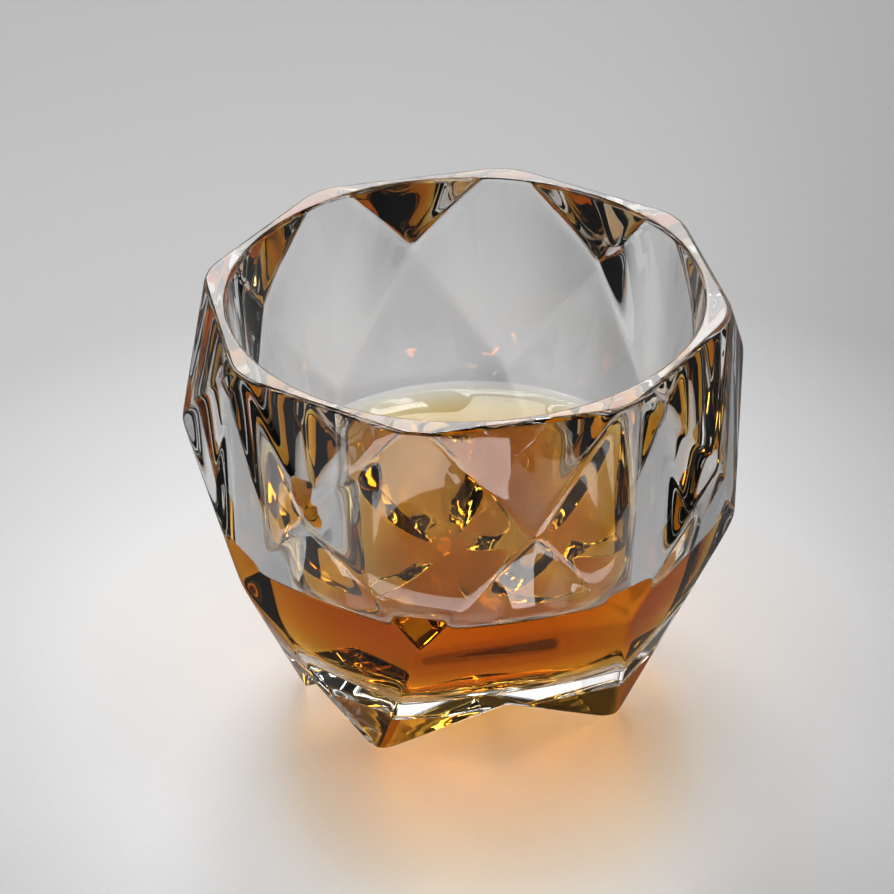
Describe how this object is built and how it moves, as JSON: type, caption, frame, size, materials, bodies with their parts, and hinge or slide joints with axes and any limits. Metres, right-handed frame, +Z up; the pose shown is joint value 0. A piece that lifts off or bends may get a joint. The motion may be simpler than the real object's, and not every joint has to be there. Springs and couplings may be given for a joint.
{
  "type": "whiskey tumbler",
  "caption": "Low whiskey tumbler in thick clear glass with a faceted diamond outside, a smooth round inside and pointed feet, part filled with amber whiskey.",
  "frame": {"origin": "middle of the underside on the plane of the feet, where the part stands", "axes": "+Z up along the axis of the glass; -Y towards the front arch between two corner feet; +X to the right as seen from the front"},
  "size_m": [0.0904, 0.0904, 0.07],
  "materials": {
    "clear_glass": "polished",
    "amber_drink": "clear liquid"
  },
  "bodies": {
    "root": {"tumbler": "clear_glass", "whiskey": "amber_drink"}
  },
  "joints": []
}
